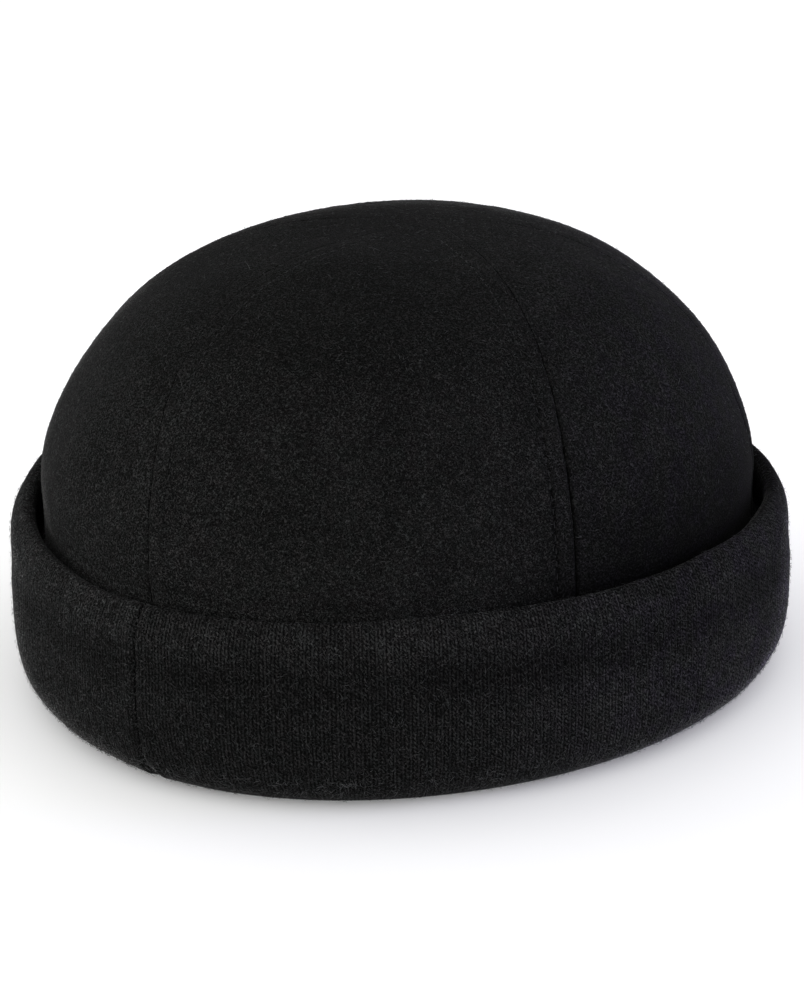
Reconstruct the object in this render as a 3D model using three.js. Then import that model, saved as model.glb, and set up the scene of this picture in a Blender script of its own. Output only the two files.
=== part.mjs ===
// A fisherman beanie: a crown of six felted panels sewn into a knitted band that is turned up on itself.
// Millimetres, +Z up. The back seam is towards +Y and the front towards -Y. The origin lies on the
// surface that the hat rests on, under the middle of its box.

import * as THREE from 'three';

// Sizes of the cuff, the knitted band that goes down inside, folds under and comes up outside
const cuffLength = 204; // front to back, outside, at its fullest
const cuffWidth = 199; // side to side, outside, at its fullest
const cuffHeight = 46.3; // from the fold it rests on to the fold at its top
const outerWallThickness = 4.6; // the knit is doubled
const innerWallThickness = 4.6;
const innerWallHeight = 36; // where the crown is sewn on, out of sight
const foldGap = 0.6; // air between the two walls
const topLean = 4.6; // how far the outer wall leans in at its top fold
const bottomLean = 8.2; // how far it leans in at the fold it rests on
const leanPower = 4.5; // the higher, the later the wall starts to lean
const creaseHeight = 5; // bottom of the slot between the walls
const restStripWidth = 3; // the bottom fold is flat where it lies on the surface
const cuffSeamDepth = 0.9; // groove of the seam down the back of the outer wall
const cuffSeamWidth = 2.6;

// Sizes of the crown
const crownRise = 74.8; // from its sewn edge to its top
const feltThickness = 2.2;
const crownClearance = 2.7; // from the turned-up wall to the crown, at the crown's edge
const apexForward = 15.6; // the seams meet in front of the middle
const apexSideways = 4.2; // and off to the wearer's left or right, towards -X
const tipRadius = 1.2; // the panels' tips stop short of the point where the seams meet
const waistDepth = 2.3; // on two sides, the crown's foot and the cuff's inner wall draw in
const waistBelowFold = 3.3; // from the cuff's top fold down to the waist
const waistSpan = 9.5; // how soon the crown swells out again above the waist
const waistTurn = 36; // degrees from +X to one of the two sides, the other lies opposite
const seamStripWidth = 5.6; // from a seam to the line of stitches beside it
const seamStripRise = 0.45; // the seam allowance lies under this strip and lifts it

// Shape of the plan and of the crown's side view, plain numbers without a unit
const backNarrowing = 0.09; // share by which the sides draw in at the back and spread at the front
const sideFullness = 2.7; // 2 is an ellipse, more is fuller at the shoulder
const apexPull = 1.5; // how soon the pull of the shifted apex fades down the sides

// Pieces that touch keep this far apart
const pieceGap = 0.3;

// Number of steps in the meshes
const cuffColumns = 84;
const crownRows = 14;
const panelColumns = 3; // between the two edges of a panel

// Seams of the crown, in degrees round from +X: the angle at the band, and the swing on the way to the top
const seams = [
  { angle: 25, swing: -12 },
  { angle: 90, swing: -24 },
  { angle: 156, swing: 7 },
  { angle: 206, swing: 14 },
  { angle: 266, swing: 0 },
  { angle: 325, swing: 0 },
];

// Relief across a panel's edge: distances are shares of seamStripWidth, heights of seamStripRise
const stitchedEdge = [
  { distance: 0, height: -2 },
  { distance: 0.22, height: 0.7 },
  { distance: 0.6, height: 1 },
  { distance: 0.88, height: 0.6 },
  { distance: 1.02, height: -0.6 },
  { distance: 1.25, height: 0 },
];
const plainEdge = [
  { distance: 0, height: -2 },
  { distance: 0.2, height: -0.6 },
  { distance: 0.5, height: 0 },
];

// Heights on the cuff's section, as shares of the wall's height
const outerFaceHeights = [0, 0.03, 0.08, 0.16, 0.32, 0.55, 0.78, 0.9, 0.96, 1];
const hiddenFaceHeights = [0.62, 0.34];

const felt = new THREE.MeshStandardMaterial({ color: 0x1b1c1f, roughness: 0.95, metalness: 0 });
const knit = new THREE.MeshStandardMaterial({ color: 0x202125, roughness: 0.92, metalness: 0 });

// Plan of the cuff's fullest line, and the direction that points out of it
function planPoint(angle, halfWidth, halfLength) {
  const draw = 1 - backNarrowing * Math.sin(angle);
  return new THREE.Vector2(halfWidth * Math.cos(angle) * draw, halfLength * Math.sin(angle));
}

function planNormal(angle, halfWidth, halfLength) {
  const step = 0.001;
  const before = planPoint(angle - step, halfWidth, halfLength);
  const after = planPoint(angle + step, halfWidth, halfLength);
  const along = after.sub(before).normalize();
  return new THREE.Vector2(along.y, -along.x);
}

// How far the outer wall of the cuff leans in at a height
function wallLean(height) {
  const share = (2 * height) / cuffHeight - 1;
  const lean = share > 0 ? topLean : bottomLean;
  return lean * Math.abs(share) ** leanPower;
}

// How far the crown and the cuff's inner wall draw in: nothing at the crease, most at the waist
function waistDraw(angle, height) {
  const waistHeight = cuffHeight - waistBelowFold;
  const climbed = THREE.MathUtils.clamp((height - creaseHeight) / (waistHeight - creaseHeight), 0, 1);
  const above = Math.max(0, height - waistHeight) / waistSpan;
  const level = Math.sin((climbed * Math.PI) / 2) * Math.exp(-(above ** 2));
  return waistDepth * level * Math.cos(angle - THREE.MathUtils.degToRad(waistTurn)) ** 2;
}

// Section of the cuff, as distances in from its fullest line and heights. It runs up the outer wall,
// over the top fold, down into the slot, up and over the inner wall, and down to the bottom fold.
function cuffSection() {
  const outerFace = outerFaceHeights.map((share) => {
    const height = share * cuffHeight;
    return { inset: wallLean(height), height, outside: true };
  });

  const foldRadius = outerWallThickness / 2;
  const topFold = [Math.PI / 4, Math.PI / 2].map((turn) => ({
    inset: topLean + foldRadius * Math.sin(turn),
    height: cuffHeight - foldRadius * (1 - Math.cos(turn)),
  }));

  const slotOutside = (height) => wallLean(height) + outerWallThickness;
  const slotInside = (height) => slotOutside(height) + foldGap;
  const insideFace = (height) => slotInside(height) + innerWallThickness;
  const down = hiddenFaceHeights.map((share) => share * cuffHeight);
  const up = [...down].reverse();

  const slot = [
    ...down.map((height) => ({ inset: slotOutside(height), height })),
    { inset: slotOutside(creaseHeight), height: creaseHeight },
    { inset: slotOutside(creaseHeight) + foldGap / 2, height: creaseHeight - foldGap / 2 },
    { inset: slotInside(creaseHeight), height: creaseHeight },
    ...up.map((height) => ({ inset: slotInside(height), height, inside: true })),
  ];

  const innerWall = [
    { inset: slotInside(innerWallHeight), height: innerWallHeight, inside: true },
    { inset: insideFace(innerWallHeight), height: innerWallHeight, inside: true },
    ...down.map((height) => ({ inset: insideFace(height), height, inside: true })),
  ];

  const stripInset = bottomLean + restStripWidth;
  const bulge = insideFace(creaseHeight) - stripInset;
  const bottomFold = [Math.PI / 2, Math.PI / 4, 0].map((turn) => ({
    inset: stripInset + bulge * Math.sin(turn),
    height: creaseHeight * (1 - Math.cos(turn)),
  }));

  return [...outerFace, ...topFold, ...slot, ...innerWall, ...bottomFold];
}

// Angles round the cuff, with two more beside the seam at the back
function cuffAngles() {
  const seamAngle = Math.PI / 2;
  const seamStep = cuffSeamWidth / cuffWidth;
  const angles = [seamAngle - seamStep, seamAngle + seamStep];
  for (let column = 0; column < cuffColumns; column++) {
    angles.push((column / cuffColumns) * 2 * Math.PI);
  }
  return angles.sort((a, b) => a - b);
}

function cuffGeometry() {
  const section = cuffSection();
  const angles = cuffAngles();
  const halfWidth = cuffWidth / 2;
  const halfLength = cuffLength / 2;
  const positions = [];
  const faces = [];

  angles.forEach((angle) => {
    const plan = planPoint(angle, halfWidth, halfLength);
    const outward = planNormal(angle, halfWidth, halfLength);
    const fromSeam = Math.abs(plan.x) / (cuffSeamWidth / 2);
    const atSeam = plan.y > 0 ? Math.max(0, 1 - fromSeam) : 0;
    section.forEach(({ inset, height, outside, inside }) => {
      const groove = outside && height > 0 ? cuffSeamDepth * atSeam : 0;
      const depth = inset + groove + (inside ? waistDraw(angle, height) : 0);
      positions.push(plan.x - outward.x * depth, plan.y - outward.y * depth, height);
    });
  });

  for (let column = 0; column < angles.length; column++) {
    const next = (column + 1) % angles.length;
    for (let row = 0; row < section.length; row++) {
      const above = (row + 1) % section.length;
      const a = column * section.length + row;
      const b = next * section.length + row;
      const c = next * section.length + above;
      const d = column * section.length + above;
      faces.push(a, b, c, a, c, d);
    }
  }
  return meshGeometry(positions, faces);
}

function meshGeometry(positions, faces) {
  const geometry = new THREE.BufferGeometry();
  geometry.setAttribute('position', new THREE.Float32BufferAttribute(positions, 3));
  geometry.setIndex(faces);
  geometry.computeVertexNormals();
  return geometry;
}

// Outside of the crown without its seams: climb is 0 at the sewn edge and a quarter turn at the top
const crownHalfWidth = cuffWidth / 2 - outerWallThickness - crownClearance;
const crownHalfLength = cuffLength / 2 - outerWallThickness - crownClearance;

function reachAt(climb) {
  return Math.max(0, Math.cos(climb)) ** (2 / sideFullness);
}

function crownPoint(angle, climb) {
  const reach = reachAt(climb);
  const plan = planPoint(angle, crownHalfWidth * reach, crownHalfLength * reach);
  const pull = (1 - reach) ** apexPull;
  const height = innerWallHeight + pieceGap + crownRise * Math.sin(climb);
  const narrowing = 1 - waistDraw(angle, height) / crownHalfWidth;
  return new THREE.Vector3(
    (plan.x - apexSideways * pull) * narrowing,
    (plan.y - apexForward * pull) * narrowing,
    height,
  );
}

function crownNormal(angle, climb) {
  const step = 0.001;
  const climbStep = Math.min(step, (Math.PI / 2 - climb) / 2);
  const around = crownPoint(angle + step, climb).sub(crownPoint(angle - step, climb));
  const upward = crownPoint(angle, climb + climbStep).sub(crownPoint(angle, climb));
  return around.cross(upward).normalize();
}

// Angle of a seam at a climb: it swings to its final angle as it nears the top
function seamAngle(seam, climb) {
  const { angle, swing } = seams[seam % seams.length];
  const wrap = seam >= seams.length ? 360 : 0;
  return THREE.MathUtils.degToRad(angle + wrap + swing * (1 - reachAt(climb) ** 2));
}

// Columns of a panel: distance from its left or right seam, the height of the relief there,
// and the share of the plain cloth between the two edges
function panelColumnList(edge) {
  const rise = edge.map((row) => ({
    distance: Math.max(row.distance * seamStripWidth, pieceGap / 2),
    height: row.height * seamStripRise,
  }));
  const left = rise.map((row) => ({ ...row, side: 'left' }));
  const right = rise.map((row) => ({ ...row, side: 'right' })).reverse();
  const middle = [];
  for (let column = 1; column <= panelColumns; column++) {
    middle.push({ share: column / (panelColumns + 1), height: 0, side: 'middle' });
  }
  return [...left, ...middle, ...right];
}

// Two grids of points, the outside and the inside of one panel
function panelGrids(seam, edge) {
  const columns = panelColumnList(edge);
  const edgeWidth = columns[edge.length - 1].distance;
  const topClimb = Math.acos((tipRadius / crownHalfWidth) ** (sideFullness / 2));
  const outside = [];
  const inside = [];

  for (let row = 0; row <= crownRows; row++) {
    const climb = (row / crownRows) * topClimb;
    const from = seamAngle(seam, climb);
    const to = seamAngle(seam + 1, climb);
    const middle = crownPoint((from + to) / 2, climb);
    const width = crownPoint(from, climb).distanceTo(middle) + crownPoint(to, climb).distanceTo(middle);
    // Near the top a panel is too narrow for its whole edge, so the edge is squeezed
    const squeeze = Math.min(1, width / (3 * edgeWidth));
    const inFrom = (distance) => (pieceGap / 2 + (distance - pieceGap / 2) * squeeze) / width;
    const lastLeft = inFrom(edgeWidth);

    const outsideRow = [];
    const insideRow = [];
    columns.forEach((column) => {
      let across = lastLeft + (1 - 2 * lastLeft) * (column.share ?? 0);
      if (column.side === 'left') across = inFrom(column.distance);
      if (column.side === 'right') across = 1 - inFrom(column.distance);
      const angle = THREE.MathUtils.lerp(from, to, across);
      const point = crownPoint(angle, climb);
      const outward = crownNormal(angle, climb);
      outsideRow.push(point.clone().addScaledVector(outward, column.height * squeeze));
      insideRow.push(point.clone().addScaledVector(outward, -feltThickness));
    });
    outside.push(outsideRow);
    inside.push(insideRow);
  }
  return { outside, inside };
}

// A closed wall between two grids of points
function wallGeometry(outside, inside) {
  const rows = outside.length;
  const columns = outside[0].length;
  const positions = [...outside.flat(), ...inside.flat()].flatMap((point) => point.toArray());
  const faces = [];
  const out = (row, column) => row * columns + column;
  const inn = (row, column) => rows * columns + row * columns + column;
  const quad = (a, b, c, d) => faces.push(a, b, c, a, c, d);

  for (let row = 0; row < rows - 1; row++) {
    for (let column = 0; column < columns - 1; column++) {
      quad(out(row, column), out(row, column + 1), out(row + 1, column + 1), out(row + 1, column));
      quad(inn(row, column), inn(row + 1, column), inn(row + 1, column + 1), inn(row, column + 1));
    }
  }
  const topRow = rows - 1;
  for (let column = 0; column < columns - 1; column++) {
    quad(out(0, column + 1), out(0, column), inn(0, column), inn(0, column + 1));
    quad(out(topRow, column), out(topRow, column + 1), inn(topRow, column + 1), inn(topRow, column));
  }
  const lastColumn = columns - 1;
  for (let row = 0; row < rows - 1; row++) {
    quad(out(row, 0), out(row + 1, 0), inn(row + 1, 0), inn(row, 0));
    quad(out(row + 1, lastColumn), out(row, lastColumn), inn(row, lastColumn), inn(row + 1, lastColumn));
  }
  return meshGeometry(positions, faces);
}

function makeCuff() {
  const cuff = new THREE.Mesh(cuffGeometry(), knit);
  cuff.name = 'cuff';
  return cuff;
}

// The seam allowances are pressed under every other panel and stitched down there
function makeCrownPanel(number) {
  const edge = number % 2 === 0 ? stitchedEdge : plainEdge;
  const { outside, inside } = panelGrids(number - 1, edge);
  const panel = new THREE.Mesh(wallGeometry(outside, inside), felt);
  panel.name = `crown_panel_${number}`;
  return panel;
}

const beanie = new THREE.Group();
beanie.add(makeCuff());
seams.forEach((seam, index) => {
  beanie.add(makeCrownPanel(index + 1));
});

export default beanie;
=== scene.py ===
import math

import bpy
import numpy as np
from mathutils import Matrix, Vector


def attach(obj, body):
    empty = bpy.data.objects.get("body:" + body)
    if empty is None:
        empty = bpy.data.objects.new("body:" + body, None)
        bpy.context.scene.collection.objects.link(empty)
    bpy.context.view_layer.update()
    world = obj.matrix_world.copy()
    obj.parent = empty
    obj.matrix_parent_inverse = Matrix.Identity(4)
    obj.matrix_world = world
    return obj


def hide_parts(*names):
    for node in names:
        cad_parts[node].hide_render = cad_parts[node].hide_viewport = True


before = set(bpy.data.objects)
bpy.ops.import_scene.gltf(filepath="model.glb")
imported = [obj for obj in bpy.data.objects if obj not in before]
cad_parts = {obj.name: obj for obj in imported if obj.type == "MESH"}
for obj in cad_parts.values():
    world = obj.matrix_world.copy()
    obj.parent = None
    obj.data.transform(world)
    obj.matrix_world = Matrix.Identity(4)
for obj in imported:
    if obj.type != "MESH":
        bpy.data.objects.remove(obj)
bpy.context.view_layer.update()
bpy.ops.object.select_all(action="DESELECT")

# Metres. The back seam of the cuff is towards +Y and the front of the hat towards -Y.
millimetre = 0.001

# Camera, floor and light

cameraLook = {
    "azimuth": 215.291,  # degrees
    "elevation": 21.147,
    "roll": -0.953,
    "distance": 0.660,  # from the point it looks at
    "lens": 91.39,  # millimetres, for a picture taller than wide
    "targetRight": 0.00366,
    "targetHeight": 0.03868,
}

# Lights stand where the camera sees them: metres to the right, up and towards it, from the hat's middle
lampLook = {
    "keyLamp": {"place": (-0.6, 0.9, 1.1), "size": 1.2, "watts": 2, "colour": (1, 0.99, 0.97)},
    "rightLamp": {"place": (1.1, 0.2, 0.1), "size": 0.5, "watts": 2.9, "colour": (0.48, 0.46, 1)},
    "leftLamp": {"place": (-1.2, 0.3, -0.2), "size": 0.8, "watts": 3.4, "colour": (1, 0.99, 0.97)},
}
stageLook = {"roomStrength": 1.0, "floorSize": 8, "floorTone": 0.93, "floorPaintedGlow": 0.14}
floorLook = {"roughness": 0.9, "specular": 0.2, "sheen": 0, "sheenRoughness": 0.5}


def viewAxes():
    # Directions to the right, up and back towards the camera, before its roll
    turn = math.radians(cameraLook["azimuth"])
    climb = math.radians(cameraLook["elevation"])
    level = math.cos(climb)
    back = Vector((math.sin(turn) * level, -math.cos(turn) * level, math.sin(climb)))
    right = Vector((math.cos(turn), math.sin(turn), 0))
    return right, back.cross(right), back


def makeCamera():
    right, up, back = viewAxes()
    target = right * cameraLook["targetRight"] + Vector((0, 0, cameraLook["targetHeight"]))
    roll = math.radians(cameraLook["roll"])
    rolledRight = right * math.cos(roll) + up * math.sin(roll)
    rolledUp = up * math.cos(roll) - right * math.sin(roll)
    camera = bpy.data.objects.new("camera", bpy.data.cameras.new("camera"))
    bpy.context.collection.objects.link(camera)
    turn = Matrix((rolledRight, rolledUp, back)).transposed()
    camera.matrix_world = Matrix.Translation(target + back * cameraLook["distance"]) @ turn.to_4x4()
    camera.data.lens = cameraLook["lens"]
    camera.data.clip_start = 0.05
    camera.data.clip_end = 20
    bpy.context.scene.camera = camera


def makeLamps():
    right, up, back = viewAxes()
    for name, look in lampLook.items():
        lamp = bpy.data.lights.new(name, "AREA")
        lamp.shape = "DISK"
        lamp.size = look["size"]
        lamp.energy = look["watts"]
        lamp.color = look["colour"]
        holder = bpy.data.objects.new(name, lamp)
        bpy.context.collection.objects.link(holder)
        toRight, toUp, toBack = look["place"]
        holder.location = right * toRight + Vector((0, 0, toUp)) + back * toBack
        holder.rotation_mode = "QUATERNION"
        holder.rotation_quaternion = holder.location.to_track_quat("Z", "Y")


def addNode(tree, kind, inputs=None, **settings):
    made = tree.nodes.new(kind)
    for name, value in settings.items():
        setattr(made, name, value)
    for name, value in (inputs or {}).items():
        if isinstance(value, bpy.types.NodeSocket):
            tree.links.new(value, made.inputs[name])
        else:
            made.inputs[name].default_value = value
    return made


def calc(tree, operation, first, second=0.0, third=0.0):
    made = addNode(tree, "ShaderNodeMath", {0: first, 1: second, 2: third}, operation=operation)
    return made.outputs[0]


def spread(tree, value, low, high, toLow=0.0, toHigh=1.0):
    # value from low to high becomes toLow to toHigh, softly and no further
    inputs = {"Value": value, "From Min": low, "From Max": high, "To Min": toLow, "To Max": toHigh}
    made = addNode(tree, "ShaderNodeMapRange", inputs, interpolation_type="SMOOTHSTEP")
    return made.outputs[0]


def mixColour(tree, share, first, second):
    return addNode(tree, "ShaderNodeMix", {0: share, 6: first, 7: second}, data_type="RGBA").outputs[2]


def noiseAt(tree, place, size, detail, roughness=0.5, distortion=0.0):
    # Smooth noise with bumps of about that size
    inputs = {"Vector": place, "Scale": 1 / size, "Detail": detail, "Roughness": roughness}
    inputs["Distortion"] = distortion
    return addNode(tree, "ShaderNodeTexNoise", inputs).outputs[0]


def newMaterial(name, look):
    material = bpy.data.materials.new(name)
    material.use_nodes = True
    shader = material.node_tree.nodes["Principled BSDF"]
    shader.inputs["Roughness"].default_value = look["roughness"]
    shader.inputs["Specular IOR Level"].default_value = look["specular"]
    shader.inputs["Sheen Weight"].default_value = look["sheen"]
    shader.inputs["Sheen Roughness"].default_value = look["sheenRoughness"]
    return material, material.node_tree, shader


def makeStage():
    bpy.ops.mesh.primitive_plane_add(size=stageLook["floorSize"])
    floor = bpy.context.object
    floor.name = "floor"
    material, _, shader = newMaterial("paleFloor", floorLook)
    tone = stageLook["floorTone"]
    shader.inputs["Base Color"].default_value = (tone, tone, tone, 1)
    # Painted light: the floor glows a little, so that the hat's shadow stays faint
    shader.inputs["Emission Color"].default_value = (1, 1, 1, 1)
    shader.inputs["Emission Strength"].default_value = stageLook["floorPaintedGlow"]
    floor.data.materials.append(material)
    floor.select_set(False)
    room = bpy.data.worlds.new("room")
    room.use_nodes = True
    sky = room.node_tree.nodes["Background"]
    sky.inputs["Color"].default_value = (1, 1, 1, 1)
    sky.inputs["Strength"].default_value = stageLook["roomStrength"]
    bpy.context.scene.world = room
    bpy.context.scene.view_settings.view_transform = "Standard"


makeCamera()
makeLamps()
makeStage()
print("camera, lamps and floor made")

# What the two cloths share

# Dyed wool is a little greener or redder from place to place. Blotches on one side are painted blue light.
tintLook = {
    "greener": (0.975, 1.012, 1.004, 1),
    "redder": (1.025, 0.991, 0.992, 1),
    "paintedBlueLight": (1.02, 0.93, 1.17, 1),
    "noiseShares": (0.3, 0.7),
    "blueLightShares": (0.42, 0.62),
    "blueLightSide": (0.02, 0.08),
}
patchTones = (0.3, 0.7, 0.88, 1.13)  # slow noise from and to, and the tones that it becomes


def curlyHairs(tree, place, size, thinness, seed, gaps):
    # Thin curly lines where a smooth noise passes its middle, broken up into short hairs
    moved = addNode(tree, "ShaderNodeVectorMath", {0: place, 1: (seed, 2 * seed, 0)}, operation="ADD")
    lines = noiseAt(tree, moved.outputs[0], size, 1.0, distortion=0.5)
    away = calc(tree, "ABSOLUTE", calc(tree, "SUBTRACT", lines, 0.5))
    line = calc(tree, "MULTIPLY_ADD", away, -thinness, 1.0)
    broken = spread(tree, noiseAt(tree, moved.outputs[0], size / 1.4, 0.0), *gaps)
    return times(tree, calc(tree, "MAXIMUM", line, 0.0), broken)


def hairLayers(tree, place, look):
    size, thin, gaps = look["hairSize"], look["hairThinness"], look["hairGaps"]
    layers = [curlyHairs(tree, place, size * share, thin, seed, gaps) for share, seed in look["hairLayers"]]
    return calc(tree, "MAXIMUM", *layers)


def bulge(tree, value, middle, halfWidth):
    # 1 where value is middle, rounding off to 0 at halfWidth from it
    away = calc(tree, "DIVIDE", calc(tree, "SUBTRACT", value, middle), halfWidth)
    return calc(tree, "MAXIMUM", calc(tree, "SUBTRACT", 1.0, times(tree, away, away)), 0.0)


# To the camera's right, level towards the camera, and up
ways = {"side": viewAxes()[0], "near": viewAxes()[0].cross(Vector((0, 0, -1))), "height": (0, 0, 1)}


def wayShare(tree, place, way, low, high):
    # 0 where the place is low along the way, 1 where it is high
    dot = addNode(tree, "ShaderNodeVectorMath", {0: place, 1: ways[way]}, operation="DOT_PRODUCT")
    along = dot.outputs["Value"]
    if low < high:
        return spread(tree, along, low, high)
    return calc(tree, "SUBTRACT", 1.0, spread(tree, along, high, low))


def times(tree, *factors):
    product = factors[0]
    for factor in factors[1:]:
        product = calc(tree, "MULTIPLY", product, factor)
    return product


def toned(tree, share, tone):
    # 1 where share is 0, and tone where it is 1
    return calc(tree, "MULTIPLY_ADD", share, tone - 1, 1.0)


def paintedLightShare(tree, place, fade, up=None):
    # 0 to 1 where a tone of painted light and shade comes in, by the place on the hat and the share of the
    # way up the cuff's wall
    shares = [wayShare(tree, place, way, *fade[way]) for way in ways if way in fade]
    if "from" in fade:
        shares.append(spread(tree, up, *fade["from"]))
    if "until" in fade:
        shares.append(spread(tree, up, *fade["until"], 1.0, 0.0))
    return times(tree, *shares)


def tinted(tree, place, colour, size):
    noise = spread(tree, noiseAt(tree, place, size, 1.0), *tintLook["noiseShares"])
    tint = mixColour(tree, noise, tintLook["greener"], tintLook["redder"])
    # Painted blue light, in blotches on the camera's right
    blueLightBlotch = spread(tree, noiseAt(tree, place, size * 2, 2.0), *tintLook["blueLightShares"])
    paintedBlueCast = times(tree, wayShare(tree, place, "side", *tintLook["blueLightSide"]), blueLightBlotch)
    tint = mixColour(tree, paintedBlueCast, tint, tintLook["paintedBlueLight"])
    return addNode(tree, "ShaderNodeVectorMath", {0: colour, 1: tint}, operation="MULTIPLY").outputs[0]


def edgeOn(tree, start, full):
    # 0 to 1 where the cloth is seen edge on
    facing = addNode(tree, "ShaderNodeLayerWeight", {"Blend": 0.5}).outputs["Facing"]
    share = spread(tree, facing, start, full)
    return times(tree, share, share)


def dressShader(tree, shader, look, colour, tone, height):
    # The base colour, times a tone, and the relief
    scaled = addNode(tree, "ShaderNodeVectorMath", {0: colour, "Scale": tone}, operation="SCALE")
    tree.links.new(scaled.outputs[0], shader.inputs["Base Color"])
    relief = {"Height": height, "Distance": look["bumpHeight"], "Strength": look["bumpStrength"]}
    bump = addNode(tree, "ShaderNodeBump", relief)
    tree.links.new(bump.outputs[0], shader.inputs["Normal"])


# Cloth of the crown: milled wool, dark, with short curly hairs lying every way

feltLook = {
    "roughness": 0.95,
    "specular": 0.03,
    "sheen": 0.010,
    "sheenRoughness": 0.12,
    "paintedSheenTone": 4.2,  # painted sheen: the nap is painted paler where it is seen edge on
    "paintedSheenFacing": (0.80, 0.96),
    "seamTone": 0.22,
    "seamFuzz": (0.38, 0.58, 0.25, 1.0),  # noise from and to, and how much of the seam's shade it leaves
    "tintSize": 0.0024,
    "pit": (0.0006, 0.0006, 0.0006, 1),  # colour between the hairs
    "nap": (0.0085, 0.0086, 0.0084, 1),
    "hair": (0.034, 0.0342, 0.0340, 1),
    "patchSize": 0.012,
    "napSize": 0.00033,
    "napShares": (0.30, 0.74),
    "fuzzSize": 0.0016,
    "hairSize": 0.0008,
    "hairLayers": [(1, 0.37), (0.8, 0.91)],  # share of the hair size, and seed
    "hairThinness": 19,
    "hairGaps": (0.38, 0.70),
    "loosenedHair": 0.4,  # how much clearer the hairs show on the side to the camera's left
    "loosenedSide": (-0.01, -0.05),
    "napRelief": 0.6,
    "bumpHeight": 0.00018,
    "bumpStrength": 0.7,
    # Painted shade and painted light. Each comes in from the first place to the second, to the camera's
    # right and up.
    "fades": {
        "foot": {"tone": 0.36, "side": (0.02, 0.07), "height": (0.078, 0.050)},  # painted shade above the band
        "gap": {"tone": 0.55, "side": (0.02, 0.05), "height": (0.0535, 0.0465)},  # and darker painted shade at the gap
        "band": {"tone": 1.5, "side": (0.04, 0.01), "height": (0.0485, 0.0460)},  # painted light low at the gap on the other side
        # painted shade on the top, and high on the camera's right
        "top": {"tone": 0.66, "side": (0.05, 0.0), "height": (0.082, 0.104)},
        "side": {"tone": 0.93, "side": (0.0, 0.05), "height": (0.066, 0.090)},
    },
}


def makeFelt():
    look = feltLook
    material, tree, shader = newMaterial("milledWool", look)
    place = addNode(tree, "ShaderNodeTexCoord").outputs["Object"]
    nap = spread(tree, noiseAt(tree, place, look["napSize"], 2.0, 0.7), *look["napShares"])
    patch = spread(tree, noiseAt(tree, place, look["patchSize"], 2.0), *patchTones)
    looser = toned(tree, wayShare(tree, place, "side", *look["loosenedSide"]), 1 + look["loosenedHair"])
    hairs = times(tree, hairLayers(tree, place, look), looser)
    colour = mixColour(tree, nap, look["pit"], look["nap"])
    colour = mixColour(tree, hairs, colour, look["hair"])
    # Painted shade and painted light, by place on the crown
    fades = {name: paintedLightShare(tree, place, fade) for name, fade in look["fades"].items()}
    # Painted sheen on the edges, left out where the foot has painted shade
    paintedSheen = times(tree, edgeOn(tree, *look["paintedSheenFacing"]), calc(tree, "SUBTRACT", 1.0, fades["foot"]))
    # The attribute seamShade is 1 in a seam and on a sunk stitch line, where fuzz partly hides them
    shade = addNode(tree, "ShaderNodeAttribute", attribute_name="seamShade").outputs["Fac"]
    fuzz = spread(tree, noiseAt(tree, place, look["fuzzSize"], 2.0), *look["seamFuzz"])
    tone = times(
        tree,
        patch,
        *[toned(tree, share, look["fades"][name]["tone"]) for name, share in fades.items()],
        toned(tree, paintedSheen, look["paintedSheenTone"]),
        toned(tree, times(tree, shade, fuzz), look["seamTone"]),
    )
    colour = tinted(tree, place, colour, look["tintSize"])
    height = calc(tree, "ADD", times(tree, nap, look["napRelief"]), hairs)
    dressShader(tree, shader, look, colour, tone, height)
    return material


# Knit of the cuff: plain stitches, whose two legs make a V, in upright rows

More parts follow.
